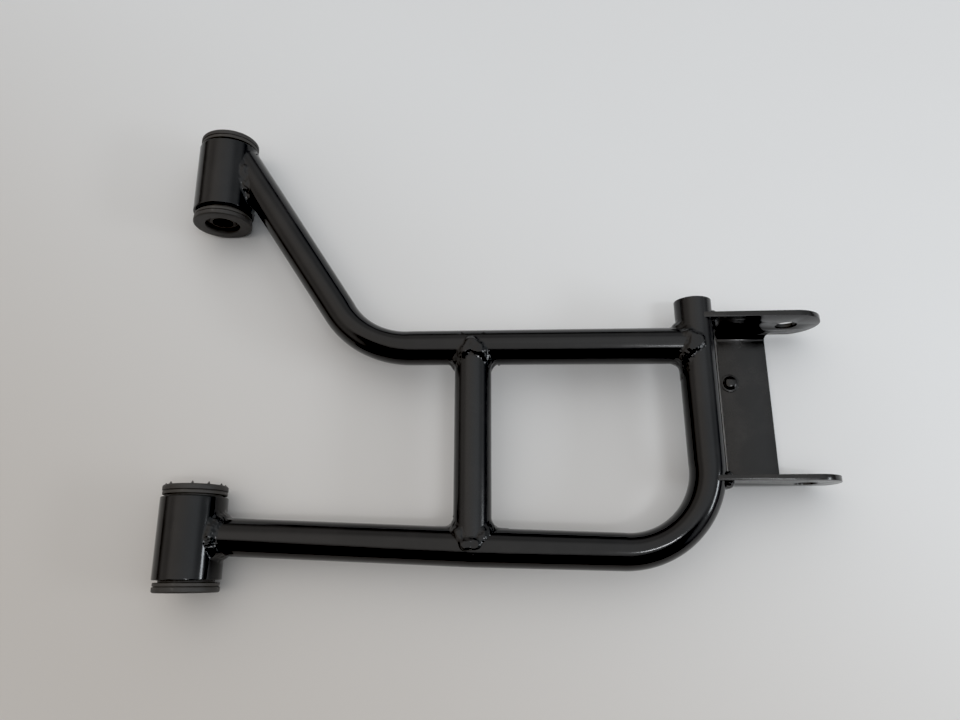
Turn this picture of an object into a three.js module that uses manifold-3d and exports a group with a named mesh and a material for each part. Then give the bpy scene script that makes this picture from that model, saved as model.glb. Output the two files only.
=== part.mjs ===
// Suspension control arm: two pivot housings with flanged bushes and turning sleeves,
// a welded frame of bent round tube, and a folded plate bracket for the wheel knuckle.
// Millimetres, +Z up. The arm lies flat. X runs from the pivot axis out to the bracket,
// Y runs along the pivot axis, and Z = 0 is the pivot axis until the last lines.

import * as THREE from 'three';
import { mergeVertices } from 'three/addons/utils/BufferGeometryUtils.js';
import Module from 'manifold-3d';

const wasm = await Module();
wasm.setup();

// ---- driving dimensions ----

const fitGap = 0.3; // left between pieces that touch
const turnGap = 0.12; // radial room around a turning sleeve

const tube = { outer: 22.2, wall: 2.4, sides: 20, bendStep: 11.5 };

const pivot = { spacing: 235.6, sleeveOuter: 17.6, sleeveBore: 13, sleeveRecess: 1.4, sides: 32 };
const housing = { outer: 39, bore: 31.8, length: 47.5, edge: 0.6 };
const bush = { flangeOuter: 37.2, flangeThick: 2, standOff: 1.4, shankLength: 22, edge: 0.5 };
const rearInnerProud = 0.8; // the rear inner bush isn't pressed fully home
const cap = { outer: 37.7, hole: 22.3, thick: 3.3, edge: 0.9 };
const nib = { height: 1.9, radius: 1.1, ring: 17.2, angles: [-32, 16, 47, 79, 121, 160, 203, 246, 288] };

const frame = {
  rise: 9.5, // tube centrelines above the pivot axis
  reach: 304.15, // pivot axis to the outer run of the lower tube
  crossAt: 168, // pivot axis to the foot of the cross tube
  crossLean: 0.8, // how much further out its head is
  cornerBend: 49,
  kinkBend: 120,
  upperBend: 55,
  frontStartY: 1.65, // the front leg meets the pivot axis here, from the front housing's middle
  crossY: -6.4,
  cornerY: -10.25,
  stubPastEar: 9.9, // the outer run ends this far past the upper ear
  upperY: 111.65, // upper tube at the outer run
  upperCornerX: 101.35,
  upperCornerY: 113.9,
  rearAimY: 31.7, // where the diagonal would meet the pivot axis, past the rear housing's middle
};

const bracket = {
  plate: 3.2,
  bendInner: 5,
  drop: 29, // underside of the web below the tube centrelines
  firstEarY: 32.2, // inner face of the lower ear
  earGap: 94.4, // between the inner faces of the two ears
  webSlot: 9.4, // open slot between the outer run and the web
  webWidth: 29.7,
  webFillet: 4,
  boltReach: 58.7, // outer run to the bolt holes
  boltHeight: 19.8, // bolt holes above the underside of the web
  boltHole: 13,
  earRadius: 19.6,
  tongueBack: 1.5, // tongues start this far outside the outer run's centreline
  tongueRise: 19, // lower end of a tongue above the underside of the web
};

const stud = { flange: 11.4, flangeThick: 0.9, head: 8.4, headHeight: 3.4, inset: 5.3, alongY: 61.9 };

const weld = { leg: 5, throat: 1.6 };
const earWeld = { radius: 3, sides: 8, fromAngle: -64, toAngle: 18, steps: 8 };

// ---- values that follow ----

const tubeRadius = tube.outer / 2;
const housingRadius = housing.outer / 2;
const halfHousing = housing.length / 2;
const rearY = pivot.spacing;
const capFace = halfHousing + bush.standOff + bush.flangeThick + fitGap + cap.thick;
const bracketBottom = frame.rise - bracket.drop;
const lowerEarY = bracket.firstEarY;
const upperEarY = bracket.firstEarY + bracket.earGap;
const webStart = frame.reach + tubeRadius + bracket.webSlot;
const webEnd = webStart + bracket.webWidth;
const boltX = frame.reach + bracket.boltReach;
const bendOuter = bracket.bendInner + bracket.plate;
const farPast = 400; // longer than any piece

const paint = { color: 0x141416, roughness: 0.28, metalness: 0.1 };
const weldPaint = { color: 0x18181a, roughness: 0.32, metalness: 0.1 };
const plastic = { color: 0x4c4846, roughness: 0.72, metalness: 0 };
const steel = { color: 0x5f5c58, roughness: 0.45, metalness: 0.9 };

const point = (x, y, z) => new THREE.Vector3(x, y, z);
const radians = THREE.MathUtils.degToRad;

// ---- solids ----

// A closed geometry with its shared vertices merged, as a solid that can be cut and joined.
function solidFrom(geometry) {
  geometry.deleteAttribute('normal');
  geometry.deleteAttribute('uv');
  const merged = mergeVertices(geometry, 1e-4);
  return new wasm.Manifold(new wasm.Mesh({
    numProp: 3,
    vertProperties: new Float32Array(merged.attributes.position.array),
    triVerts: new Uint32Array(merged.index.array),
  }));
}

function geometryFrom(solid) {
  const mesh = solid.getMesh();
  const geometry = new THREE.BufferGeometry();
  geometry.setAttribute('position', new THREE.BufferAttribute(mesh.vertProperties, 3));
  geometry.setIndex(new THREE.BufferAttribute(mesh.triVerts, 1));
  geometry.computeVertexNormals();
  return geometry;
}

const arm = new THREE.Group();

function addPiece(name, solid, look) {
  const mesh = new THREE.Mesh(geometryFrom(solid), new THREE.MeshStandardMaterial(look));
  mesh.name = name;
  arm.add(mesh);
  return mesh;
}

function join(first, ...rest) {
  return rest.reduce((whole, next) => whole.add(next), first);
}

function cut(solid, ...tools) {
  return tools.reduce((left, tool) => left.subtract(tool), solid);
}

// turn moves the flats of the section round by a share of one flat, so that the flats of two
// crossing tubes of one size never lie in one plane.
function circleShape(radius, sides, turn) {
  const corners = [];
  for (let i = 0; i < sides; i += 1) {
    const angle = (2 * Math.PI * (i + turn)) / sides;
    corners.push(new THREE.Vector2(radius * Math.cos(angle), radius * Math.sin(angle)));
  }
  return new THREE.Shape(corners);
}

// A path through given stations; every station gets one section of the extrusion.
class StationPath extends THREE.Curve {
  constructor(stations) {
    super();
    this.stations = stations;
  }

  getPointAt(share, target = new THREE.Vector3()) {
    return target.copy(this.stations[Math.round(share * (this.stations.length - 1))]);
  }

  getTangentAt(share, target = new THREE.Vector3()) {
    const last = this.stations.length - 1;
    const index = Math.round(share * last);
    const before = this.stations[Math.max(index - 1, 0)];
    const here = this.stations[index];
    const after = this.stations[Math.min(index + 1, last)];
    const inward = here.clone().sub(before).normalize();
    const outward = after.clone().sub(here).normalize();
    return target.copy(inward).add(outward).normalize();
  }
}

// Straight legs joined by round bends: the corners of the centreline and a bend radius for each
// corner between the ends. Returns the stations of the centreline.
function bentStations(corners, bends) {
  const stations = [corners[0].clone()];
  bends.forEach((bend, index) => {
    const corner = corners[index + 1];
    const back = corners[index].clone().sub(corner).normalize();
    const ahead = corners[index + 2].clone().sub(corner).normalize();
    const turn = Math.PI - back.angleTo(ahead);
    const legLength = bend * Math.tan(turn / 2);
    const centre = back.clone().add(ahead).normalize().multiplyScalar(bend / Math.cos(turn / 2)).add(corner);
    const startArm = corner.clone().addScaledVector(back, legLength).sub(centre);
    const axis = ahead.clone().cross(back).normalize();
    const steps = Math.max(2, Math.ceil(THREE.MathUtils.radToDeg(turn) / tube.bendStep));
    for (let i = 0; i <= steps; i += 1) {
      const spoke = startArm.clone().applyAxisAngle(axis, (turn * i) / steps);
      stations.push(spoke.add(centre));
    }
  });
  stations.push(corners[corners.length - 1].clone());
  return stations;
}

function rodAlong(stations, radius, sides = tube.sides, turn = 0) {
  return solidFrom(new THREE.ExtrudeGeometry(circleShape(radius, sides, turn), {
    steps: stations.length - 1,
    extrudePath: new StationPath(stations),
  }));
}

// A rod's own solid, grown or thinned by some extra radius.
function grown(rod, extra = 0) {
  return rodAlong(rod.line, rod.radius + extra, rod.sides, rod.turn);
}

// A profile of [radius, height] corners turned around the pivot direction, centred on y.
function turnedAlongPivot(profile, y, sides = pivot.sides) {
  const corners = profile.map(([radius, height]) => new THREE.Vector2(radius, height));
  const geometry = new THREE.LatheGeometry([...corners, corners[0]], sides);
  geometry.translate(0, y, 0);
  return solidFrom(geometry);
}

function ring(inner, outer, low, high, edge) {
  return [[inner, low], [outer - edge, low], [outer, low + edge],
    [outer, high - edge], [outer - edge, high], [inner, high]];
}

// ---- centrelines of the tubes ----

const frontStart = point(0, frame.frontStartY, 0);
const crossFoot = point(frame.crossAt, frame.crossY, frame.rise);
const corner = point(frame.reach, frame.cornerY, frame.rise);
const stubEnd = point(frame.reach, upperEarY + bracket.plate + frame.stubPastEar, frame.rise);
const upperStart = point(frame.reach, frame.upperY, frame.rise);
const upperCorner = point(frame.upperCornerX, frame.upperCornerY, frame.rise);
const rearAim = point(0, rearY + frame.rearAimY, 0);

const pointBetween = (from, to, share) => from.clone().lerp(to, share);
const insideHousing = housingRadius * 0.42; // a tube starts here and is coped from there on

const frontLegStart = pointBetween(frontStart, crossFoot, insideHousing / frame.crossAt);
const diagonalEnd = pointBetween(rearAim, upperCorner, insideHousing / frame.upperCornerX);
const crossHeadX = frame.crossAt + frame.crossLean;
const crossShare = (frame.reach - crossHeadX) / (frame.reach - frame.upperCornerX);
const crossHead = pointBetween(upperStart, upperCorner, crossShare);

const lowerTube = {
  line: bentStations([frontLegStart, crossFoot, corner, stubEnd], [frame.kinkBend, frame.cornerBend]),
  radius: tubeRadius,
  sides: tube.sides,
  turn: 0,
};

const upperTube = {
  line: bentStations([upperStart, upperCorner, diagonalEnd], [frame.upperBend]),
  radius: tubeRadius,
  sides: tube.sides,
  turn: 0.5,
};

const crossTube = {
  line: [crossFoot, crossHead],
  radius: tubeRadius,
  sides: tube.sides,
  turn: 0.25,
};

const housings = {
  line: [point(0, -farPast, 0), point(0, farPast, 0)],
  radius: housingRadius,
  sides: pivot.sides,
  turn: 0,
};

const lowerRoom = grown(lowerTube, fitGap);
const upperRoom = grown(upperTube, fitGap);
const housingRoom = grown(housings, fitGap);

// ---- tubes of the frame ----

function pipe(rod, ...neighbours) {
  return cut(grown(rod), grown(rod, -tube.wall), ...neighbours);
}

addPiece('lower_tube', pipe(lowerTube, housingRoom), paint);
addPiece('upper_tube', pipe(upperTube, housingRoom, lowerRoom), paint);
addPiece('cross_tube', pipe(crossTube, lowerRoom, upperRoom), paint);

// ---- pivot housings, bushes, caps and sleeves ----

function housingSolid(y) {
  return turnedAlongPivot(
    ring(housing.bore / 2, housingRadius, -halfHousing, halfHousing, housing.edge), y);
}

const sleeveRadius = pivot.sleeveOuter / 2;
const sleeveRoom = (sleeveRadius + turnGap) / Math.cos(Math.PI / pivot.sides);
const shankRadius = housing.bore / 2 - fitGap;

// side is +1 for the end that faces +Y, -1 for the other one.
function bushSolid(y, side, proud) {
  const flangeLow = halfHousing + bush.standOff + proud;
  const flangeHigh = flangeLow + bush.flangeThick;
  const shankEnd = halfHousing + proud - bush.shankLength;
  const flangeRadius = bush.flangeOuter / 2;
  const profile = [
    [sleeveRoom, shankEnd],
    [shankRadius - bush.edge, shankEnd],
    [shankRadius, shankEnd + bush.edge],
    [shankRadius, flangeLow],
    [flangeRadius - bush.edge, flangeLow],
    [flangeRadius, flangeLow + bush.edge],
    [flangeRadius, flangeHigh - bush.edge],
    [flangeRadius - bush.edge, flangeHigh],
    [sleeveRoom, flangeHigh],
  ];
  return turnedAlongPivot(facing(profile, side), y);
}

function facing(profile, side) {
  if (side > 0) {
    return profile;
  }
  return profile.map(([radius, height]) => [radius, -height]).reverse();
}

function capSolid(y, side, proud) {
  const high = capFace + proud;
  const section = ring(cap.hole / 2, cap.outer / 2, high - cap.thick, high, cap.edge);
  return turnedAlongPivot(facing(section, side), y);
}

// Small pointed nibs left standing on one cap, around its rim.
function nibSolids(y) {
  return nib.angles.map((angle) => {
    const cone = new THREE.ConeGeometry(nib.radius, nib.height + cap.edge, 6);
    const x = nib.ring * Math.sin(radians(angle));
    const z = nib.ring * Math.cos(radians(angle));
    cone.translate(x, y + capFace + (nib.height - cap.edge) / 2, z);
    return solidFrom(cone);
  });
}

function sleeveSolid(y) {
  const half = capFace - pivot.sleeveRecess;
  return turnedAlongPivot(ring(pivot.sleeveBore / 2, sleeveRadius, -half, half, bush.edge), y);
}

const ends = [
  { name: 'front', y: 0, outerSide: -1, innerProud: 0 },
  { name: 'rear', y: rearY, outerSide: 1, innerProud: rearInnerProud },
];

for (const end of ends) {
  addPiece(`${end.name}_pivot_housing`, housingSolid(end.y), paint);
  addPiece(`${end.name}_outer_bush`, bushSolid(end.y, end.outerSide, 0), plastic);
  addPiece(`${end.name}_inner_bush`, bushSolid(end.y, -end.outerSide, end.innerProud), plastic);
  addPiece(`${end.name}_outer_cap`, capSolid(end.y, end.outerSide, 0), plastic);
  const innerCap = capSolid(end.y, -end.outerSide, end.innerProud);
  const hasNibs = end.name === 'front';
  addPiece(`${end.name}_inner_cap`, hasNibs ? join(innerCap, ...nibSolids(end.y)) : innerCap, plastic);
  addPiece(`${end.name}_pivot_sleeve`, sleeveSolid(end.y), steel);
}

// ---- knuckle bracket ----

// Folded channel: a U section of the bent plate, along X.
function channelSection() {
  const { plate, bendInner } = bracket;
  const outerLow = lowerEarY - plate;
  const outerHigh = upperEarY + plate;
  const wallTop = bendOuter + plate;
  const shape = new THREE.Shape();
  shape.moveTo(outerLow, wallTop);
  shape.lineTo(outerLow, bendOuter);
  shape.absarc(outerLow + bendOuter, bendOuter, bendOuter, Math.PI, 1.5 * Math.PI, false);
  shape.lineTo(outerHigh - bendOuter, 0);
  shape.absarc(outerHigh - bendOuter, bendOuter, bendOuter, 1.5 * Math.PI, 2 * Math.PI, false);
  shape.lineTo(outerHigh, wallTop);
  shape.lineTo(upperEarY, wallTop);
  shape.lineTo(upperEarY, bendOuter);
  shape.absarc(upperEarY - bendInner, bendOuter, bendInner, 2 * Math.PI, 1.5 * Math.PI, true);
  shape.lineTo(lowerEarY + bendInner, plate);
  shape.absarc(lowerEarY + bendInner, bendOuter, bendInner, 1.5 * Math.PI, Math.PI, true);
  shape.lineTo(lowerEarY, wallTop);
  shape.closePath();
  return shape;
}

function channelSolid() {
  const reachOut = bracket.webFillet;
  const geometry = new THREE.ExtrudeGeometry(channelSection(), {
    depth: bracket.webWidth + 2 * reachOut,
    bevelEnabled: false,
    curveSegments: 5,
  });
  // The section's x is the model's y, its y is the model's z, and its depth is the model's x.
  geometry.applyMatrix4(new THREE.Matrix4().makeBasis(point(0, 1, 0), point(0, 0, 1), point(1, 0, 0)));
  geometry.translate(webStart - reachOut, 0, bracketBottom);
  return cut(solidFrom(geometry), webTrim(1), webTrim(-1));
}

// Trims the web to its width between the ears, with a fillet into each ear.
function webTrim(side) {
  const edge = side > 0 ? webEnd : webStart;
  const far = edge + side * 3 * bracket.webFillet;
  const fillet = bracket.webFillet;
  const shape = new THREE.Shape();
  shape.moveTo(far, lowerEarY);
  shape.lineTo(edge + side * fillet, lowerEarY);
  shape.quadraticCurveTo(edge, lowerEarY, edge, lowerEarY + fillet);
  shape.lineTo(edge, upperEarY - fillet);
  shape.quadraticCurveTo(edge, upperEarY, edge + side * fillet, upperEarY);
  shape.lineTo(far, upperEarY);
  shape.closePath();
  const geometry = new THREE.ExtrudeGeometry(shape, { depth: 2 * farPast, bevelEnabled: false, curveSegments: 4 });
  geometry.translate(0, 0, -farPast);
  return solidFrom(geometry);
}

// Side view of an ear: a round outer end on the bolt hole, a step down beside the web,
// and a tongue that reaches back to the outer run of the tube.
function earShape() {
  const { earRadius, boltHeight, tongueBack, tongueRise } = bracket;
  const tongueX = frame.reach + tongueBack;
  const shape = new THREE.Shape();
  shape.moveTo(tongueX, boltHeight + earRadius);
  shape.lineTo(boltX, boltHeight + earRadius);
  shape.absarc(boltX, boltHeight, earRadius, Math.PI / 2, -Math.PI / 2, true);
  shape.lineTo(webEnd, boltHeight - earRadius);
  shape.lineTo(webEnd, bendOuter);
  shape.lineTo(webStart, bendOuter);
  shape.lineTo(tongueX, tongueRise);
  shape.closePath();
  const hole = new THREE.Path();
  hole.absarc(boltX, boltHeight, bracket.boltHole / 2, 0, 2 * Math.PI, false);
  shape.holes.push(hole);
  return shape;
}

function earSolid(innerFace, side) {
  const geometry = new THREE.ExtrudeGeometry(earShape(), {
    depth: bracket.plate,
    bevelEnabled: false,
    curveSegments: 16,
  });
  // The shape's x and y are the model's x and z, so its depth points along -Y.
  geometry.applyMatrix4(new THREE.Matrix4().makeBasis(point(1, 0, 0), point(0, 0, 1), point(0, -1, 0)));
  geometry.translate(0, side < 0 ? innerFace : innerFace + bracket.plate, bracketBottom);
  return solidFrom(geometry);
}

const bracketSolid = cut(
  join(channelSolid(), earSolid(lowerEarY, -1), earSolid(upperEarY, 1)),
  lowerRoom,
);
addPiece('knuckle_bracket', bracketSolid, paint);

function studSolid() {
  const headRadius = stud.head / 2;
  const profile = [
    [0, 0],
    [stud.flange / 2, 0],
    [stud.flange / 2, stud.flangeThick * 0.5],
    [headRadius, stud.flangeThick],
    [headRadius, stud.headHeight * 0.55],
    [headRadius * 0.86, stud.headHeight * 0.82],
    [headRadius * 0.5, stud.headHeight * 0.97],
    [0, stud.headHeight],
  ].map(([radius, height]) => new THREE.Vector2(radius, height));
  const geometry = new THREE.LatheGeometry(profile, 16);
  geometry.rotateX(Math.PI / 2);
  geometry.translate(webStart + stud.inset, lowerEarY + stud.alongY, bracketBottom + bracket.plate + fitGap);
  return solidFrom(geometry);
}

addPiece('web_stud', studSolid(), paint);

// ---- weld beads ----

// A fillet bead where a branch meets a main: a thin collar up each of the two skins, clear of
// the pieces themselves.
function filletBead(branch, main) {
  const upBranch = grown(branch, weld.throat).intersect(grown(main, weld.leg));
  const alongMain = grown(branch, weld.leg).intersect(grown(main, weld.throat));
  return cut(join(upBranch, alongMain), grown(branch, fitGap), grown(main, fitGap));
}

addPiece('front_housing_weld', filletBead(lowerTube, housings), weldPaint);
addPiece('rear_housing_weld', filletBead(upperTube, housings), weldPaint);
addPiece('cross_lower_weld', filletBead(crossTube, lowerTube), weldPaint);
addPiece('cross_upper_weld', filletBead(crossTube, upperTube), weldPaint);
addPiece('upper_tube_weld', filletBead(upperTube, lowerTube), weldPaint);

// Short beads that hold the tongues of the bracket, one on each face of each ear.
function earBead(face, side) {
  const stations = [];
  for (let i = 0; i <= earWeld.steps; i += 1) {
    const angle = radians(THREE.MathUtils.lerp(earWeld.fromAngle, earWeld.toAngle, i / earWeld.steps));
    stations.push(point(
      frame.reach + tubeRadius * Math.cos(angle),
      face + side * fitGap,
      frame.rise + tubeRadius * Math.sin(angle),
    ));
  }
  const bead = rodAlong(stations, earWeld.radius, earWeld.sides);
  return cut(bead, lowerRoom, earRoom(face, side));
}

// Everything on the ear's own side of a plane just off the ear's face.
function earRoom(face, side) {
  const slab = new THREE.BoxGeometry(2 * farPast, farPast, 2 * farPast);
  slab.translate(frame.reach, face + side * (fitGap - farPast / 2), frame.rise);
  return solidFrom(slab);
}

const earFaces = [
  { name: 'lower_ear_outer_weld', face: lowerEarY - bracket.plate, side: -1 },
  { name: 'lower_ear_inner_weld', face: lowerEarY, side: 1 },
  { name: 'upper_ear_inner_weld', face: upperEarY, side: -1 },
  { name: 'upper_ear_outer_weld', face: upperEarY + bracket.plate, side: 1 },
];

for (const ear of earFaces) {
  addPiece(ear.name, earBead(ear.face, ear.side), weldPaint);
}

// ---- origin: middle of the underside ----

const box = new THREE.Box3().setFromObject(arm);
const middle = box.getCenter(new THREE.Vector3());
arm.position.set(-middle.x, -middle.y, -box.min.z);
arm.updateMatrixWorld(true);

export default arm;
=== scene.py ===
import math
import random
import bmesh
import bpy
from mathutils import Matrix, Vector, kdtree, noise


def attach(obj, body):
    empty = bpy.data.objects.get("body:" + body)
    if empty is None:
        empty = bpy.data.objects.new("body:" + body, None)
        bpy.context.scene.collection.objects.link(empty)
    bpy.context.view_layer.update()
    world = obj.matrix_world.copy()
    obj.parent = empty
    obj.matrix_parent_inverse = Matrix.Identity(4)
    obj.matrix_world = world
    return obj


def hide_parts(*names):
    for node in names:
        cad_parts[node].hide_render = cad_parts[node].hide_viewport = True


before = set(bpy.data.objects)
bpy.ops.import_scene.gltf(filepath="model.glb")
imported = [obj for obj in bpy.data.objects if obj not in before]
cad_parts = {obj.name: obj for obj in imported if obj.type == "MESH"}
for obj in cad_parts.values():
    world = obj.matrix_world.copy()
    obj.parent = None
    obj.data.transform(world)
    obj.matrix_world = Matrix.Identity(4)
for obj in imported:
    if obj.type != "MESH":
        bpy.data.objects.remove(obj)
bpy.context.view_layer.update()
dice = random.Random(11)
print("frame loaded")

mm = 0.001
layout = {  # millimetres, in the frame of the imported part
    "pivotX": -181.475,
    "pivotZ": 19.5,
    "frontY": -117.8,
    "spacing": 235.6,
}


# x from the pivot axis, y from the front housing and z from the pivot axis, in millimetres
def at(x, y, z):
    return Vector((x + layout["pivotX"], y + layout["frontY"], z + layout["pivotZ"])) * mm


def clearSelection():
    if bpy.context.object and bpy.context.object.mode != "OBJECT":
        bpy.ops.object.mode_set(mode="OBJECT")
    bpy.ops.object.select_all(action="DESELECT")


def activate(piece):
    clearSelection()
    piece.select_set(True)
    bpy.context.view_layer.objects.active = piece


# the new primitive, with its place in its mesh
def started(name):
    piece = bpy.context.active_object
    piece.name = name
    piece.data.name = name
    bpy.ops.object.transform_apply(location=True, rotation=True, scale=True)
    return piece


def pick(piece, kind, test):
    bpy.ops.mesh.select_mode(type=kind)
    bpy.ops.mesh.select_all(action="DESELECT")
    shell = bmesh.from_edit_mesh(piece.data)
    group = {"VERT": shell.verts, "EDGE": shell.edges, "FACE": shell.faces}[kind]
    for part in group:
        if test(part):
            part.select_set(True)
    shell.select_flush_mode()
    bmesh.update_edit_mesh(piece.data)


def modify(piece, kind, settings):
    activate(piece)
    modifier = piece.modifiers.new(kind.lower(), kind)
    for key, value in settings.items():
        setattr(modifier, key, value)
    bpy.ops.object.modifier_apply(modifier=modifier.name)


def cutAway(piece, cutter, operation="DIFFERENCE"):
    modify(piece, "BOOLEAN", {"operation": operation, "solver": "EXACT", "object": cutter})
    bpy.data.objects.remove(cutter)


def joined(pieces):
    activate(pieces[0])
    for other in pieces[1:]:
        other.select_set(True)
    bpy.ops.object.join()
    return pieces[0]


def bar(start, end, radius, sides=72):
    clearSelection()
    bpy.ops.mesh.primitive_cylinder_add(
        vertices=sides, radius=radius * mm, depth=(end - start).length, location=(start + end) / 2,
        rotation=(end - start).to_track_quat("Z", "Y").to_euler())
    return started("bar")


def smoothed(piece, degrees=38):
    activate(piece)
    bpy.ops.object.shade_smooth_by_angle(angle=math.radians(degrees))


def finished(piece, node, body, finish, degrees=38):
    smoothed(piece, degrees)
    piece.data.materials.clear()
    piece.data.materials.append(finish)
    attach(piece, body)
    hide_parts(node)
    return piece


# camera, floor and light

cameraSettings = {
    "place": (0.01001, -0.13784, 0.46102),
    "turn": (16.092, 2.526, -0.234),  # degrees
    "lens": 27.574,
    "deepest": 0.01, "palest": 0.93,  # tones that come out black and white
}

cameraData = bpy.data.cameras.new("camera")
cameraData.lens = cameraSettings["lens"]
cameraData.sensor_width = 36
cameraData.clip_start = 0.01
camera = bpy.data.objects.new("camera", cameraData)
camera.location = cameraSettings["place"]
camera.rotation_euler = [math.radians(a) for a in cameraSettings["turn"]]
bpy.context.collection.objects.link(camera)
bpy.context.scene.camera = camera
view = bpy.context.scene.view_settings
view.view_transform = "Standard"
view.use_curve_mapping = True
view.curve_mapping.black_level = [cameraSettings["deepest"]] * 3
view.curve_mapping.white_level = [cameraSettings["palest"]] * 3
view.curve_mapping.update()


# a socket in a shader; sums on it add Math nodes
class Thread:
    def __init__(self, bench, socket):
        self.bench = bench
        self.socket = socket

    def __add__(self, other):
        return self.bench.sum("ADD", self, other)

    def __radd__(self, other):
        return self.bench.sum("ADD", other, self)

    def __sub__(self, other):
        return self.bench.sum("SUBTRACT", self, other)

    def __rsub__(self, other):
        return self.bench.sum("SUBTRACT", other, self)

    def __mul__(self, other):
        return self.bench.sum("MULTIPLY", self, other)

    def __rmul__(self, other):
        return self.bench.sum("MULTIPLY", other, self)


# one node tree being wired
class Bench:
    def __init__(self, tree):
        self.tree = tree

    def node(self, kind, settings=None, inputs=None, out=0):
        node = self.tree.nodes.new(kind)
        for key, value in (settings or {}).items():
            setattr(node, key, value)
        for key, value in (inputs or {}).items():
            self.feed(node.inputs[key], value)
        return Thread(self, node.outputs[out])

    def feed(self, socket, value):
        if isinstance(value, Thread):
            self.tree.links.new(value.socket, socket)
        else:
            socket.default_value = value

    def sum(self, operation, first, second):
        return self.node("ShaderNodeMath", {"operation": operation}, {0: first, 1: second})

    def spread(self, value, low, high):  # 0 below low, 1 above high
        return self.node("ShaderNodeMapRange", {"interpolation_type": "SMOOTHSTEP"},
                         {"Value": value, "From Min": low, "From Max": high})

    def grain(self, where, scale, detail=2.0, roughness=0.5):
        return self.node("ShaderNodeTexNoise", {}, {
            "Vector": where, "Scale": scale, "Detail": detail, "Roughness": roughness})

    def blend(self, share, first, second):
        return self.node("ShaderNodeMix", {"data_type": "RGBA"}, {0: share, 6: first, 7: second}, 2)

    def bump(self, height, strength, distance, under=None):
        inputs = {"Height": height, "Strength": strength, "Distance": distance}
        if under is not None:
            inputs["Normal"] = under
        return self.node("ShaderNodeBump", {}, inputs)

    def split(self, where):
        node = self.node("ShaderNodeSeparateXYZ", {}, {0: where}).socket.node
        return [Thread(self, socket) for socket in node.outputs]


def newFinish(name):
    material = bpy.data.materials.new(name)
    material.use_nodes = True
    tree = material.node_tree
    bench = Bench(tree)
    shader = tree.nodes["Principled BSDF"]
    where = bench.node("ShaderNodeTexCoord", out=3)
    return material, bench, shader, where


def glossBlackPaint(name, settings):
    material, bench, shader, where = newFinish(name)
    peel = bench.grain(where, settings["peelScale"], 2.0, 0.55)
    wave = bench.grain(where, settings["waveScale"], 1.0)
    smudge = bench.spread(bench.grain(where, 38.0, 4.0, 0.6), 0.42, 0.68)
    dust = bench.spread(bench.grain(where, 1900.0, 2.0, 0.7), 0.66, 0.78)
    rim = bench.spread(bench.node("ShaderNodeNewGeometry", out=7), 0.53, 0.6)  # thin paint on edges
    tone = bench.blend(smudge, settings["deep"], settings["worn"])
    tone = bench.blend(dust * 0.4, tone, (0.05, 0.046, 0.042, 1))
    bench.feed(shader.inputs["Base Color"], bench.blend(rim * 0.3, tone, (0.03, 0.03, 0.031, 1)))
    gloss = settings["rough"] + smudge * 0.06 + dust * 0.25 + rim * 0.1
    bench.feed(shader.inputs["Roughness"], gloss)
    shader.inputs["IOR"].default_value = 1.47
    low = bench.bump(wave, settings["waveHeight"], 0.0006)
    bench.feed(shader.inputs["Normal"], bench.bump(peel, settings["peelHeight"], 0.00012, low))
    return material


def mouldedPlastic(name, settings):
    material, bench, shader, where = newFinish(name)
    flow = bench.grain(where, 70.0, 3.0, 0.6)
    grit = bench.grain(where, 2600.0, 2.0, 0.6)
    scuff = bench.spread(bench.grain(where, 260.0, 4.0, 0.7), 0.55, 0.75)
    rim = bench.spread(bench.node("ShaderNodeNewGeometry", out=7), 0.52, 0.6)
    tone = bench.blend(flow, settings["dark"], settings["light"])
    tone = bench.blend(scuff * 0.35, tone, settings["scuffed"])
    bench.feed(shader.inputs["Base Color"], bench.blend(rim * 0.4, tone, settings["scuffed"]))
    bench.feed(shader.inputs["Roughness"], settings["rough"] + scuff * 0.12 - rim * 0.08)
    low = bench.bump(scuff, 0.25, 0.0001)
    bench.feed(shader.inputs["Normal"], bench.bump(grit, 0.35, 0.00008, low))
    return material


def dullTurnedSteel(name, settings):
    material, bench, shader, where = newFinish(name)
    centre = at(0, 0, 0)
    centred = bench.node("ShaderNodeMapping", {}, {0: where, 1: (-centre.x, 0, -centre.z), 3: (1, 0, 1)})
    radius = bench.node("ShaderNodeVectorMath", {"operation": "LENGTH"}, {0: centred}, 1)
    along = bench.split(where)[1]
    cuts = bench.node("ShaderNodeMath", {"operation": "SINE"}, {0: (radius + along) * settings["cuts"]})
    stain = bench.spread(bench.grain(where, 220.0, 4.0, 0.65), 0.45, 0.7)
    bench.feed(shader.inputs["Base Color"], bench.blend(stain, settings["clean"], settings["stained"]))
    bench.feed(shader.inputs["Metallic"], 0.95 - stain * 0.35)
    bench.feed(shader.inputs["Roughness"], settings["rough"] + stain * 0.2)
    bench.feed(shader.inputs["Normal"], bench.bump(cuts, 0.3, 0.00004))
    return material


def paleTable(name):
    material, bench, shader, where = newFinish(name)
    cloud = bench.grain(where, 7.0, 3.0, 0.5)
    east, north = bench.split(where)[:2]
    lit = bench.spread(east * 0.62 + north * 0.9, -0.36, 0.2)  # painted light and shade: the floor is painted paler and cooler towards the window side, darker and warmer away from it
    # painted shade colour first, then painted window light colour
    tone = bench.blend(lit, (0.655, 0.62, 0.585, 1), (0.92, 0.935, 0.95, 1))
    bench.feed(shader.inputs["Base Color"], bench.blend(cloud * 0.12, tone, (0.78, 0.77, 0.75, 1)))
    shader.inputs["Roughness"].default_value = 0.6
    return material


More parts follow.
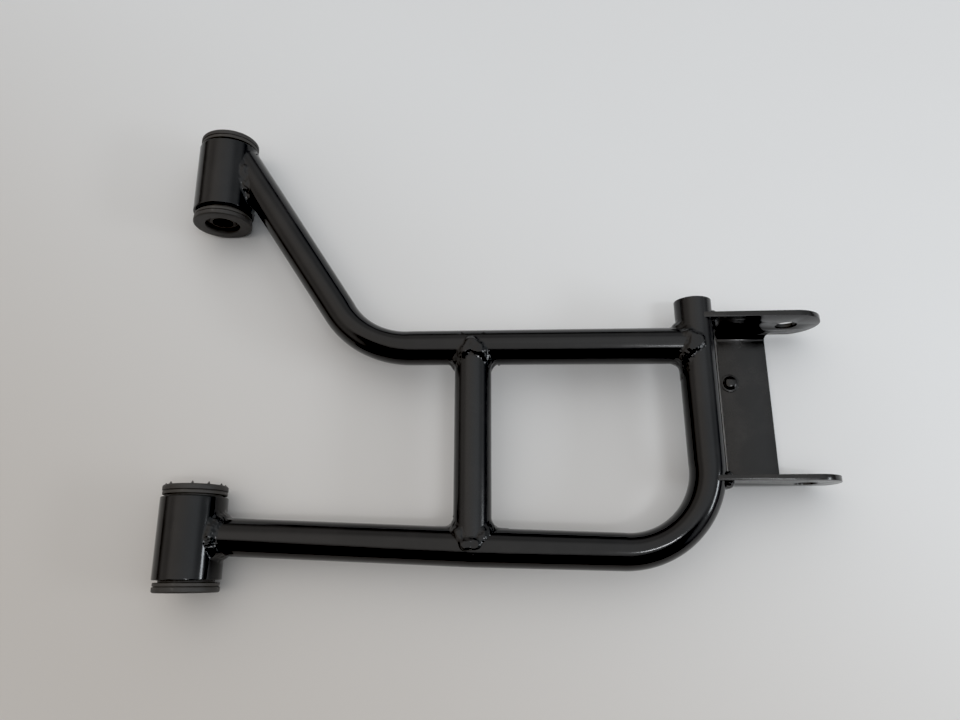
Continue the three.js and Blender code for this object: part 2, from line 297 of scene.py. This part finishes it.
paintSettings = {
    "deep": (0.004, 0.0038, 0.0041, 1), "worn": (0.0085, 0.0078, 0.008, 1),
    "rough": 0.09, "peelScale": 620.0, "peelHeight": 0.16, "waveScale": 90.0, "waveHeight": 0.1,
}
weldPaintSettings = dict(paintSettings, rough=0.08, waveScale=400.0, waveHeight=0.9, peelHeight=0.22)
bracketPaintSettings = dict(
    paintSettings, rough=0.17, deep=(0.009, 0.0078, 0.0072, 1), worn=(0.022, 0.0195, 0.018, 1))
bushSettings = {
    "dark": (0.033, 0.03, 0.027, 1), "light": (0.058, 0.053, 0.048, 1),
    "scuffed": (0.1, 0.093, 0.085, 1), "rough": 0.52,
}
capSettings = dict(bushSettings, dark=(0.03, 0.0275, 0.0255, 1), light=(0.05, 0.046, 0.043, 1))
steelSettings = {
    "clean": (0.055, 0.05, 0.047, 1), "stained": (0.02, 0.017, 0.015, 1), "rough": 0.42, "cuts": 16000.0,
}
framePaint = glossBlackPaint("framePaint", paintSettings)
weldPaint = glossBlackPaint("weldPaint", weldPaintSettings)
bracketPaint = glossBlackPaint("bracketPaint", bracketPaintSettings)
bushPlastic = mouldedPlastic("bushPlastic", bushSettings)
capPlastic = mouldedPlastic("capPlastic", capSettings)
sleeveSteel = dullTurnedSteel("sleeveSteel", steelSettings)
print("finishes made")

clearSelection()
bpy.ops.mesh.primitive_plane_add(size=8, location=(0, 0, -0.0002))
floor = started("floor")
floor.data.materials.append(paleTable("paleTable"))

lightSettings = {
    "overhead": 1.0, "sides": 0.6, "horizon": 0.14,  # how bright the room is towards each height
    "dim": 0.01,  # where somebody stands on the near side
    "warm": (1.0, 0.945, 0.89), "cool": (0.92, 0.965, 1.0),
    "lamps": [  # place, turn in degrees, size along its own x and y, watts, colour
        ("window", (1.16, -0.26, 0.56), (0, 66, 0), 0.16, 0.42, 2.2, (0.9, 0.95, 1.0)),
        ("ceilingStrip", (0.78, -0.62, 2.3), (0, 0, 0), 0.5, 0.1, 4.2, (0.95, 0.97, 1.0)),
    ],
}

light = lightSettings
world = bpy.data.worlds.new("room")
bpy.context.scene.world = world
world.use_nodes = True
room = Bench(world.node_tree)
east, north, high = room.split(room.node("ShaderNodeTexCoord", out=0))
brightness = light["horizon"] + room.spread(high, 0.12, 0.4) * (light["sides"] - light["horizon"])
brightness = brightness + room.spread(high, 0.6, 0.85) * (light["overhead"] - light["sides"])
nearSide = room.spread(0 - north, 0.1, 0.3) * (1 - room.spread(high, 0.8, 0.93))
sideways = room.spread(east * east, 0.35, 0.6)
shadeShare = nearSide * (1 - sideways)
brightness = brightness * (1 - shadeShare) + shadeShare * light["dim"]
skyColour = room.blend(room.spread(east, -0.7, 0.7), light["warm"] + (1,), light["cool"] + (1,))
background = world.node_tree.nodes["Background"]
room.feed(background.inputs["Color"], skyColour)
room.feed(background.inputs["Strength"], brightness)

for name, place, turn, width, depth, watts, colour in light["lamps"]:
    lampData = bpy.data.lights.new(name, "AREA")
    lampData.shape = "RECTANGLE"
    lampData.size = width
    lampData.size_y = depth
    lampData.energy = watts
    lampData.color = colour
    lamp = bpy.data.objects.new(name, lampData)
    lamp.location = place
    lamp.rotation_euler = [math.radians(angle) for angle in turn]
    bpy.context.collection.objects.link(lamp)
print("camera, floor and light set")


# bent tubes

tubeSettings = {
    "radius": 11.1, "wall": 2.4, "sides": 64, "spinStep": 3.0,
    "squeeze": 0.2,  # how far the inside of a bend flattens
    "copeSunk": 0.3, "housingCope": 19.2,  # coped ends sink a little into what they meet
}
lineSettings = {
    "rise": 9.5, "reach": 304.15, "crossAt": 168.0, "crossLean": 0.8,
    "frontStartY": 1.65, "crossY": -6.4, "cornerY": -10.25, "stubEndY": 139.7,
    "upperY": 111.65, "upperCorner": (101.35, 113.9), "rearAimY": 31.7,
    "kinkBend": 120.0, "cornerBend": 49.0, "upperBend": 55.0, "insideHousing": 8.0,
}
line = lineSettings
frontStart = at(0, line["frontStartY"], 0)
crossFoot = at(line["crossAt"], line["crossY"], line["rise"])
outerCorner = at(line["reach"], line["cornerY"], line["rise"])
stubEnd = at(line["reach"], line["stubEndY"], line["rise"])
upperStart = at(line["reach"], line["upperY"], line["rise"])
upperCorner = at(*line["upperCorner"], line["rise"])
rearAim = at(0, layout["spacing"] + line["rearAimY"], 0)
frontInside = frontStart.lerp(crossFoot, line["insideHousing"] / line["crossAt"])
rearInside = rearAim.lerp(upperCorner, line["insideHousing"] / line["upperCorner"][0])
headShare = (line["reach"] - line["crossAt"] - line["crossLean"]) / (line["reach"] - line["upperCorner"][0])
crossHead = upperStart.lerp(upperCorner, headShare)
frontAxis = (at(0, -200, 0), at(0, 400, 0))
outerRun = (at(line["reach"], -60, line["rise"]), at(line["reach"], 220, line["rise"]))


def extrudeBy(step):
    bpy.ops.mesh.extrude_region_move(TRANSFORM_OT_translate={"value": step})


def bentTube(name, corners, bends):
    settings = tubeSettings
    clearSelection()
    heading = (corners[1] - corners[0]).normalized()
    bpy.ops.mesh.primitive_circle_add(
        vertices=settings["sides"], radius=settings["radius"] * mm, fill_type="NOTHING",
        location=corners[0], rotation=heading.to_track_quat("Z", "Y").to_euler())
    piece = started(name)
    bpy.ops.object.mode_set(mode="EDIT")
    bpy.ops.mesh.select_all(action="SELECT")
    here = corners[0]
    arcs = []
    for corner, following, bend in zip(corners[1:], corners[2:], bends):
        inward = (corner - here).normalized()
        outward = (following - corner).normalized()
        turn = inward.angle(outward)
        setback = bend * mm * math.tan(turn / 2)
        axis = inward.cross(outward).normalized()
        bendStart = corner - inward * setback
        centre = bendStart + axis.cross(inward) * bend * mm
        extrudeBy(bendStart - here)
        steps = max(4, round(math.degrees(turn) / settings["spinStep"]))
        bpy.ops.mesh.spin(steps=steps, angle=-turn, center=centre, axis=axis)
        arcs.append((centre, axis, bendStart - centre, turn, bend * mm))
        here = corner + outward * setback
    extrudeBy(corners[-1] - here)
    bpy.ops.mesh.select_all(action="SELECT")
    bpy.ops.mesh.remove_doubles(threshold=0.00001)
    bpy.ops.mesh.normals_make_consistent(inside=False)
    bpy.ops.object.mode_set(mode="OBJECT")
    for arc in arcs:
        squeezeBend(piece, *arc)
    modify(piece, "SOLIDIFY", {"thickness": settings["wall"] * mm, "offset": -1})
    return piece


# the inside of a bend goes flatter towards its middle, as a bending die leaves it
def squeezeBend(piece, centre, axis, spoke, turn, bend):
    for vertex in piece.data.vertices:
        arm = vertex.co - centre
        flat = arm - axis * arm.dot(axis)
        angle = math.atan2(axis.dot(spoke.cross(flat)), spoke.dot(flat))
        if -0.2 < angle < turn + 0.2 and flat.length < bend + 0.02:
            share = min(1, max(0, (angle + 0.2) / (turn + 0.4)))
            depth = tubeSettings["squeeze"] * math.sin(math.pi * share) ** 0.7
            lack = bend - flat.length
            if lack > 0:
                vertex.co += flat.normalized() * lack * depth * min(1, turn)


lowerTube = bentTube("lowerTube", [frontInside, crossFoot, outerCorner, stubEnd],
                     [line["kinkBend"], line["cornerBend"]])
upperTube = bentTube("upperTube", [upperStart, upperCorner, rearInside], [line["upperBend"]])
crossTube = bentTube("crossTube", [crossFoot, crossHead], [])
tubeRadius = tubeSettings["radius"]
copeRadius = tubeRadius - tubeSettings["copeSunk"]
cutAway(lowerTube, bar(*frontAxis, tubeSettings["housingCope"], 96))
cutAway(upperTube, bar(*frontAxis, tubeSettings["housingCope"], 96))
cutAway(upperTube, bar(*outerRun, copeRadius))
cutAway(crossTube, bar(crossFoot.lerp(frontStart, 0.5), crossFoot.lerp(outerCorner, 0.5), copeRadius))
cutAway(crossTube, bar(crossHead.lerp(upperCorner, 0.5), crossHead.lerp(upperStart, 0.5), copeRadius))
finished(lowerTube, "lower_tube", "arm", framePaint)
finished(upperTube, "upper_tube", "arm", framePaint)
finished(crossTube, "cross_tube", "arm", framePaint)
print("tubes bent and coped")


# pivot housings, bushes, caps and sleeves

pivotSettings = {
    "sides": 96,
    "housingRadius": 19.5, "housingBore": 15.9, "housingHalf": 23.75, "housingEdge": 0.55, "ringInset": 1.0,
    "standOff": 1.4, "flangeRadius": 18.6, "flangeThick": 2.0, "shankRadius": 15.85, "shankEnd": 1.75,
    "capRadius": 18.85, "capHole": 11.15, "capThick": 3.3, "capGap": 0.12,
    "capStep": 0.35, "capChamfer": 0.7, "capBevel": 0.22, "holeChamfer": 0.5,
    "fitGap": 0.3, "sleeveRadius": 8.8, "sleeveBore": 6.5, "sleeveHalf": 29.35, "boreClearance": 0.12,
    "edge": 0.32, "rearInnerProud": 0.8,
}
pivot = pivotSettings


# a ring drawn out and resized from corner to corner of its profile of [radius, y offset]
def turnedPiece(name, y, profile, edge):
    clearSelection()
    bpy.ops.mesh.primitive_circle_add(
        vertices=pivot["sides"], radius=profile[0][0] * mm, fill_type="NOTHING",
        location=at(0, y + profile[0][1], 0), rotation=(math.pi / 2, 0, 0))
    piece = started(name)
    bpy.ops.object.mode_set(mode="EDIT")
    bpy.ops.mesh.select_all(action="SELECT")
    for before, after in zip(profile, profile[1:] + profile[:1]):
        extrudeBy((0, (after[1] - before[1]) * mm, 0))
        grow = after[0] / before[0]
        bpy.ops.transform.resize(value=(grow, 1, grow), center_override=at(0, y + after[1], 0))
    bpy.ops.mesh.select_all(action="SELECT")
    bpy.ops.mesh.remove_doubles(threshold=0.00001)
    bpy.ops.mesh.normals_make_consistent(inside=False)
    bpy.ops.object.mode_set(mode="OBJECT")
    modify(piece, "BEVEL", {"width": edge * mm, "segments": 3, "limit_method": "ANGLE",
                            "angle_limit": math.radians(28)})
    return piece


def facing(profile, side):
    return [[radius, offset * side] for radius, offset in profile]


# a ring close to each end keeps the long faces shaded straight
nearEnd = pivot["housingHalf"] - pivot["ringInset"]
housingProfile = [
    [pivot["housingBore"], -pivot["housingHalf"]], [pivot["housingRadius"], -pivot["housingHalf"]],
    [pivot["housingRadius"], -nearEnd], [pivot["housingRadius"], nearEnd],
    [pivot["housingRadius"], pivot["housingHalf"]], [pivot["housingBore"], pivot["housingHalf"]],
]
flangeLow = pivot["housingHalf"] + pivot["standOff"]
flangeHigh = flangeLow + pivot["flangeThick"]
sleeveRoom = pivot["sleeveRadius"] + pivot["boreClearance"]
bushProfile = [
    [sleeveRoom, pivot["shankEnd"]], [pivot["shankRadius"], pivot["shankEnd"]],
    [pivot["shankRadius"], flangeLow], [pivot["flangeRadius"], flangeLow],
    [pivot["flangeRadius"], flangeHigh], [sleeveRoom, flangeHigh],
]
capLow = flangeHigh + pivot["capGap"]
capHigh = flangeHigh + pivot["fitGap"] + pivot["capThick"]
capProfile = [
    [pivot["capHole"], capLow], [pivot["capRadius"] - pivot["capChamfer"], capLow],
    [pivot["capRadius"] - pivot["capChamfer"], capLow + pivot["capStep"]],
    [pivot["capRadius"], capLow + pivot["capStep"]], [pivot["capRadius"], capHigh - pivot["capChamfer"]],
    [pivot["capRadius"] - pivot["capChamfer"], capHigh],
    [pivot["capHole"] + pivot["holeChamfer"], capHigh],
    [pivot["capHole"], capHigh - pivot["holeChamfer"]],
]
sleeveProfile = [
    [pivot["sleeveBore"], -pivot["sleeveHalf"]], [pivot["sleeveRadius"], -pivot["sleeveHalf"]],
    [pivot["sleeveRadius"], pivot["sleeveHalf"]], [pivot["sleeveBore"], pivot["sleeveHalf"]],
]

nibSettings = {
    "height": 1.65, "radius": 1.35, "ring": 17.1, "sunk": 0.7,
    "angles": [-32, 16, 47, 79, 121, 160, 203, 246, 288],
}


# sharp stumps of moulding flash left round the rim of one cap
def flashNibs(y):
    nibs = []
    for angle in nibSettings["angles"]:
        tall = nibSettings["height"] * dice.uniform(0.75, 1.0)
        around = math.radians(angle)
        middle = y + capHigh + tall / 2 - nibSettings["sunk"] / 2
        spot = at(nibSettings["ring"] * math.sin(around), middle, nibSettings["ring"] * math.cos(around))
        clearSelection()
        bpy.ops.mesh.primitive_cone_add(
            vertices=10, radius1=nibSettings["radius"] * mm * dice.uniform(0.85, 1.1), radius2=0.15 * mm,
            depth=(tall + nibSettings["sunk"]) * mm, location=spot,
            rotation=(-math.pi / 2 + dice.uniform(-0.1, 0.1), 0, dice.uniform(-0.12, 0.12)))
        nib = started("nib")
        modify(nib, "BEVEL", {"width": 0.12 * mm, "segments": 2, "limit_method": "ANGLE"})
        nibs.append(nib)
    return joined(nibs)


for end, y, outerSide in (("front", 0.0, -1), ("rear", layout["spacing"], 1)):
    housing = turnedPiece(end + "Housing", y, housingProfile, pivot["housingEdge"])
    finished(housing, end + "_pivot_housing", "arm", framePaint)
    for side, word in ((outerSide, "outer"), (-outerSide, "inner")):
        pulled = -side * pivot["rearInnerProud"] if (end, word) == ("rear", "inner") else 0
        seat = y - pulled
        bush = turnedPiece(end + word.capitalize() + "Bush", seat, facing(bushProfile, side), pivot["edge"])
        finished(bush, end + "_" + word + "_bush", "arm", bushPlastic)
        cap = turnedPiece(end + word.capitalize() + "Cap", seat, facing(capProfile, side), pivot["capBevel"])
        if end == "front" and word == "inner":
            cutAway(cap, flashNibs(y), "UNION")
        finished(cap, end + "_" + word + "_cap", "arm", capPlastic)
    sleeve = turnedPiece(end + "Sleeve", y, sleeveProfile, pivot["edge"])
    finished(sleeve, end + "_pivot_sleeve", end + "_sleeve", sleeveSteel)
print("pivots turned")


# knuckle bracket and its stud

bracketSettings = {
    "bottom": -19.5, "plate": 3.2, "bendInner": 5.0, "lowerEarY": 32.2, "upperEarY": 126.6,
    "webStart": 324.65, "webEnd": 354.35, "webFillet": 4.0,
    "boltX": 362.85, "boltHeight": 19.8, "boltHole": 13.0, "earRadius": 19.6,
    "tongueX": 305.65, "tongueRise": 19.0, "edge": 0.35, "foldSteps": 10,
    "blankRise": 34.0,  # how far the folded blank stands up before its ears are trimmed
}


# a folded strip across X, then trimmed to the side view of its ears and to the width of its web
def foldedBracket():
    b = bracketSettings
    middle = b["bendInner"] + b["plate"] / 2
    half = b["plate"] / 2
    start = b["tongueX"] - 4
    width = b["boltX"] + b["earRadius"] + 4 - start
    clearSelection()
    bpy.ops.mesh.primitive_plane_add(size=1)
    piece = bpy.context.active_object
    lowY = b["lowerEarY"] + b["bendInner"]
    highY = b["upperEarY"] - b["bendInner"]
    piece.scale = (width * mm, (highY - lowY) * mm, 1)
    piece.location = at(start + width / 2, (lowY + highY) / 2, b["bottom"] + half)
    piece = started("knuckleBracket")
    bpy.ops.object.mode_set(mode="EDIT")
    for side, y in ((-1, lowY), (1, highY)):
        foldLine = at(0, y, 0).y
        pick(piece, "EDGE", lambda edge: all(abs(v.co.y - foldLine) < 1e-6 for v in edge.verts))
        bpy.ops.mesh.spin(steps=b["foldSteps"], angle=-side * math.pi / 2,
                          center=at(0, y, b["bottom"] + half + middle), axis=(1, 0, 0))
        extrudeBy((0, 0, b["blankRise"] * mm))
    bpy.ops.mesh.select_all(action="SELECT")
    bpy.ops.mesh.remove_doubles(threshold=0.00001)
    bpy.ops.mesh.normals_make_consistent(inside=False)
    bpy.ops.object.mode_set(mode="OBJECT")
    modify(piece, "SOLIDIFY", {"thickness": b["plate"] * mm, "offset": 0, "use_even_offset": True})
    cutAway(piece, earOutline(), "INTERSECT")
    for side, edge in ((-1, b["webStart"]), (1, b["webEnd"])):
        cutAway(piece, webTrim(side, edge))
    bolt = at(b["boltX"], 0, b["bottom"] + b["boltHeight"])
    cutAway(piece, bar(bolt, bolt + Vector((0, 0.2, 0)), b["boltHole"] / 2, 48))
    cutAway(piece, bar(*outerRun, tubeRadius - 0.2, 96))
    activate(piece)
    bpy.ops.object.mode_set(mode="EDIT")
    bpy.ops.mesh.select_all(action="SELECT")
    bpy.ops.mesh.remove_doubles(threshold=0.00002)
    bpy.ops.mesh.dissolve_limited(angle_limit=math.radians(1))
    bpy.ops.object.mode_set(mode="OBJECT")
    modify(piece, "BEVEL", {"width": b["edge"] * mm, "segments": 2, "limit_method": "ANGLE",
                            "angle_limit": math.radians(40)})
    return piece


# side view of both ears and the web: a round outer end, and a tongue back to the outer run
def earOutline():
    b = bracketSettings
    clearSelection()
    centre = at(b["boltX"], 0, b["bottom"] + b["boltHeight"])
    bpy.ops.mesh.primitive_circle_add(
        vertices=96, radius=b["earRadius"] * mm, fill_type="NGON", location=centre,
        rotation=(math.pi / 2, 0, 0))
    cutter = started("outline")
    bpy.ops.object.mode_set(mode="EDIT")
    bpy.ops.mesh.select_all(action="SELECT")
    bpy.ops.mesh.bisect(plane_co=centre, plane_no=(1, 0, 0), clear_inner=True, use_fill=False)
    pick(cutter, "EDGE", lambda edge: all(abs(v.co.x - centre.x) < 1e-5 for v in edge.verts))
    extrudeBy((at(b["webEnd"], 0, 0).x - centre.x, 0, 0))
    extrudeBy((at(b["webStart"], 0, 0).x - at(b["webEnd"], 0, 0).x, 0, 0))
    extrudeBy((at(b["tongueX"], 0, 0).x - at(b["webStart"], 0, 0).x, 0, 0))
    farX = at(b["tongueX"], 0, 0).x
    pick(cutter, "VERT", lambda v: abs(v.co.x - farX) < 1e-5 and v.co.z < centre.z)
    lift = b["tongueRise"] - (b["boltHeight"] - b["earRadius"])
    bpy.ops.transform.translate(value=(0, 0, lift * mm))
    bpy.ops.mesh.select_mode(type="FACE")
    bpy.ops.mesh.select_all(action="SELECT")
    extrudeBy((0, 0.2, 0))
    bpy.ops.mesh.select_all(action="SELECT")
    bpy.ops.transform.translate(value=(0, at(0, -20, 0).y - centre.y, 0))
    bpy.ops.mesh.normals_make_consistent(inside=False)
    bpy.ops.object.mode_set(mode="OBJECT")
    return cutter


# what lies beside the web between the ears, with round inner corners
def webTrim(side, edge):
    b = bracketSettings
    low = b["lowerEarY"]
    clearSelection()
    depth = 60
    bpy.ops.mesh.primitive_cube_add(size=1)
    cutter = bpy.context.active_object
    cutter.scale = (depth * mm, (b["upperEarY"] - low) * mm, 80 * mm)
    cutter.location = at(edge + side * depth / 2, (b["upperEarY"] + low) / 2, b["bottom"])
    cutter = started("webTrim")
    bpy.ops.object.mode_set(mode="EDIT")
    face = at(edge, 0, 0).x
    pick(cutter, "EDGE", lambda e: all(abs(v.co.x - face) < 1e-6 for v in e.verts)
         and abs(e.verts[0].co.z - e.verts[1].co.z) > 0.01)
    bpy.ops.mesh.bevel(offset=b["webFillet"] * mm, segments=8, affect="EDGES")
    bpy.ops.object.mode_set(mode="OBJECT")
    return cutter


bracket = foldedBracket()
finished(bracket, "knuckle_bracket", "arm", bracketPaint, 30)

studSettings = {"x": 329.95, "y": 94.1, "flange": 5.7, "head": 4.2, "height": 3.4, "foot": 0.05}


def domedStud():
    s = studSettings
    floorZ = bracketSettings["bottom"] + bracketSettings["plate"] + s["foot"]
    clearSelection()
    bpy.ops.mesh.primitive_cylinder_add(vertices=48, radius=s["flange"] * mm, depth=0.7 * mm,
                                        location=at(s["x"], s["y"], floorZ + 0.35))
    piece = started("webStud")
    top = at(0, 0, floorZ + 0.7).z
    bpy.ops.object.mode_set(mode="EDIT")
    pick(piece, "FACE", lambda face: face.normal.z > 0.9 and face.calc_center_median().z > top - 1e-5)
    bpy.ops.mesh.inset(thickness=(s["flange"] - s["head"]) * mm)
    for rise, shrink in ((1.1, 1.0), (0.7, 0.93), (0.5, 0.78), (0.3, 0.5)):
        extrudeBy((0, 0, rise * mm))
        bpy.ops.transform.resize(value=(shrink, shrink, 1), center_override=at(s["x"], s["y"], floorZ))
    bpy.ops.mesh.inset(thickness=0.35 * mm)
    bpy.ops.transform.translate(value=(0, 0, 0.06 * mm))
    bpy.ops.object.mode_set(mode="OBJECT")
    modify(piece, "BEVEL", {"width": 0.2 * mm, "segments": 2, "limit_method": "ANGLE",
                            "angle_limit": math.radians(35)})
    return piece


finished(domedStud(), "web_stud", "arm", bracketPaint, 50)
print("bracket folded")


# weld beads

weldSettings = {
    "voxel": 0.6, "filletSteps": 60, "beadRadius": 3.7, "sunk": 1.3, "spacing": 1.7,
    "embed": 0.5, "reach": 10.0, "ripple": 0.05, "rippleLength": 2.1, "lump": 0.6, "lumpSize": 4.0,
    "spatter": 9, "top": 21.9, "span": (-300.0, 700.0), "beadTo": 700.0,
}


# distance of a point from the skin of a bar, and the direction out of it
def outOf(point, rod):
    start, heading, radius = rod
    arm = point - start
    flat = arm - heading * arm.dot(heading)
    return flat.length - radius * mm, flat.normalized()


# the line where a branch meets a main bar
def seamPoints(branch, main, count):
    start, heading, radius = branch
    mainStart, mainHeading, mainRadius = main
    side = heading.cross(mainHeading).normalized()
    other = heading.cross(side)
    points = []
    for step in range(count):
        angle = 2 * math.pi * step / count
        base = start + (side * math.cos(angle) + other * math.sin(angle)) * radius * mm
        arm = base - mainStart
        arm -= mainHeading * arm.dot(mainHeading)
        run = heading - mainHeading * heading.dot(mainHeading)
        a = run.dot(run)
        b = 2 * arm.dot(run)
        c = arm.dot(arm) - (mainRadius * mm) ** 2
        root = math.sqrt(max(0, b * b - 4 * a * c))
        points.append(base + heading * (root - b) / (2 * a))
    return points


def blob(centre, radius, stretch, turn):
    clearSelection()
    bpy.ops.mesh.primitive_ico_sphere_add(subdivisions=2, radius=radius * mm, location=centre,
                                          rotation=turn, scale=stretch)
    return started("blob")


def copiesOf(first, places):
    copies = [first]
    origin = sum((v.co for v in first.data.vertices), Vector()) / len(first.data.vertices)
    for place, size in places:
        other = first.copy()
        other.data = first.data.copy()
        bpy.context.collection.objects.link(other)
        other.data.transform(Matrix.Translation(place) @ Matrix.Diagonal((size, size, size, 1))
                             @ Matrix.Translation(-origin))
        copies.append(other)
    return copies


def blobChain(points, radius, wander):
    places = []
    for point in points:
        shift = Vector([dice.uniform(-wander, wander) * mm for _ in range(3)])
        places.append((point + shift, dice.uniform(0.8, 1.2)))
    first = blob(points[0], radius, (1, 1, 1), (0, 0, 0))
    return copiesOf(first, places)


def roughened(piece, rods, settings, branch):
    start, heading, radius = branch
    side = heading.orthogonal().normalized()
    other = heading.cross(side)
    for vertex in piece.data.vertices:
        point = vertex.co
        depth = min(outOf(point, rod)[0] for rod in rods)
        weight = min(1, max(0, depth / mm + 0.25))
        arm = point - start
        around = math.atan2(arm.dot(other), arm.dot(side)) * radius
        wobble = noise.noise(point / mm / 3.0) * 2.2
        ripple = math.sin((around / settings["rippleLength"]) * 2 * math.pi + wobble)
        lump = noise.noise(point / mm / settings["lumpSize"] + Vector((7, 3, 1)))
        move = (ripple * settings["ripple"] + lump * settings["lump"]) * weight
        vertex.co = point + vertex.normal * move * mm
        vertex.co.z = min(vertex.co.z, (settings["top"] + layout["pivotZ"]) * mm)


# both bars and a row of drops are melted into one skin, and what stands out of the bars is kept
def filletWeld(name, node, branch, main, settings):
    rods = (branch, main)
    branchStart, branchHeading, branchRadius = branch
    mainStart, mainHeading, mainRadius = main
    count = round(2 * math.pi * branchRadius / settings["spacing"])
    seam = seamPoints(branch, main, count)
    middle = sum(seam, Vector()) / len(seam)
    mainMiddle = mainStart + mainHeading * (middle - mainStart).dot(mainHeading)
    lengthwise = 42 * mm
    pieces = [
        bar(mainMiddle - mainHeading * lengthwise, mainMiddle + mainHeading * lengthwise, mainRadius - 0.1),
        bar(branchStart, branchStart + branchHeading * ((middle - branchStart).dot(branchHeading) + 0.035),
            branchRadius - 0.1),
    ]
    beaded = [point - (point - middle).normalized() * settings["sunk"] * mm for point in seam]
    beaded = [point for point in beaded if point.y < at(0, settings["beadTo"], 0).y]
    pieces += blobChain(beaded, settings["beadRadius"], 0.4)
    piece = joined(pieces)
    piece.name = name
    modify(piece, "REMESH", {"mode": "VOXEL", "voxel_size": settings["voxel"] * mm})
    modify(piece, "SMOOTH", {"factor": 0.5, "iterations": settings["filletSteps"]})
    activate(piece)
    bpy.ops.object.mode_set(mode="EDIT")
    near = kdtree.KDTree(len(seam))
    for index, point in enumerate(seam):
        near.insert(point, index)
    near.balance()

    def spare(face):
        centre = face.calc_center_median()
        buried = min(outOf(centre, rod)[0] for rod in rods) < -settings["embed"] * mm
        past = not at(0, settings["span"][0], 0).y < centre.y < at(0, settings["span"][1], 0).y
        return buried or past or near.find(centre)[2] > settings["reach"] * mm

    pick(piece, "FACE", spare)
    bpy.ops.mesh.delete(type="FACE")
    bpy.ops.object.mode_set(mode="OBJECT")
    keepLargest(piece)
    roughened(piece, rods, settings, branch)
    modify(piece, "SOLIDIFY", {"thickness": 0.9 * mm, "offset": -1})
    drops = []
    for _ in range(settings["spatter"]):
        point = seam[dice.randrange(len(seam))]
        outward = (point - mainMiddle).normalized()
        along = Vector([dice.uniform(-1, 1) for _ in range(3)]) * 5.5 * mm
        spot = point + along
        for _ in range(3):  # pushed on to the nearer skin
            depth, way = min((outOf(spot, rod) for rod in rods), key=lambda item: abs(item[0]))
            spot -= way * depth
        drops.append((spot, dice.uniform(0.5, 1.0)))
    first = blob(drops[0][0], 0.55, (1, 1, 1), (0, 0, 0))
    piece = joined([piece] + copiesOf(first, drops))
    piece.name = name
    return finished(piece, node, "arm", weldPaint, 60)


# drops the scraps that are not part of the bead itself
def keepLargest(piece):
    shell = bmesh.new()
    shell.from_mesh(piece.data)
    left = set(shell.verts)
    islands = []
    while left:
        todo = [left.pop()]
        island = set(todo)
        while todo:
            for edge in todo.pop().link_edges:
                for vertex in edge.verts:
                    if vertex not in island:
                        island.add(vertex)
                        left.discard(vertex)
                        todo.append(vertex)
        islands.append(island)
    largest = max(islands, key=len)
    scraps = [vertex for vertex in shell.verts if vertex not in largest]
    bmesh.ops.delete(shell, geom=scraps, context="VERTS")
    shell.to_mesh(piece.data)
    shell.free()


def rod(start, end, radius):
    return start, (end - start).normalized(), radius


housingRod = rod(*frontAxis, pivot["housingRadius"])
outerRod = rod(*outerRun, tubeRadius)
lowerRod = rod(crossFoot.lerp(frontStart, 0.4), crossFoot.lerp(outerCorner, 0.4), tubeRadius)
upperRod = rod(upperCorner, upperStart, tubeRadius)
frontSpan = dict(weldSettings, span=(-23.3, 23.3))
rearSpan = dict(weldSettings, span=(layout["spacing"] - 23.3, layout["spacing"] + 23.3),
                beadTo=layout["spacing"] + 6.0)  # drawn smooth where it leaves the housing at a sharp angle
filletWeld("frontHousingWeld", "front_housing_weld",
           rod(frontStart, crossFoot, tubeRadius), housingRod, frontSpan)
filletWeld("rearHousingWeld", "rear_housing_weld",
           rod(rearAim, upperCorner, tubeRadius), housingRod, rearSpan)
filletWeld("crossLowerWeld", "cross_lower_weld",
           rod(crossFoot, crossHead, tubeRadius), lowerRod, weldSettings)
filletWeld("crossUpperWeld", "cross_upper_weld",
           rod(crossHead, crossFoot, tubeRadius), upperRod, weldSettings)
filletWeld("upperTubeWeld", "upper_tube_weld",
           rod(upperStart, upperCorner, tubeRadius), outerRod, weldSettings)

earWeldSettings = {"radius": 2.9, "fromAngle": -58, "toAngle": 16, "drops": 14, "voxel": 0.45}


# a short bead where a tongue of the bracket lies on the outer run
def earWeld(name, node, face, side):
    s = earWeldSettings
    points = []
    for step in range(s["drops"]):
        angle = math.radians(s["fromAngle"] + (s["toAngle"] - s["fromAngle"]) * step / (s["drops"] - 1))
        points.append(at(line["reach"] + (tubeRadius + 0.2) * math.cos(angle), face + side * 0.4,
                         line["rise"] + (tubeRadius + 0.2) * math.sin(angle)))
    piece = joined(blobChain(points, s["radius"], 0.3))
    piece.name = name
    modify(piece, "REMESH", {"mode": "VOXEL", "voxel_size": s["voxel"] * mm})
    modify(piece, "SMOOTH", {"factor": 0.5, "iterations": 5})
    return finished(piece, node, "arm", weldPaint, 60)


b = bracketSettings
earWeld("lowerEarOuterWeld", "lower_ear_outer_weld", b["lowerEarY"] - b["plate"], -1)
earWeld("lowerEarInnerWeld", "lower_ear_inner_weld", b["lowerEarY"], 1)
earWeld("upperEarInnerWeld", "upper_ear_inner_weld", b["upperEarY"], -1)
earWeld("upperEarOuterWeld", "upper_ear_outer_weld", b["upperEarY"] + b["plate"], 1)
print("welds laid")
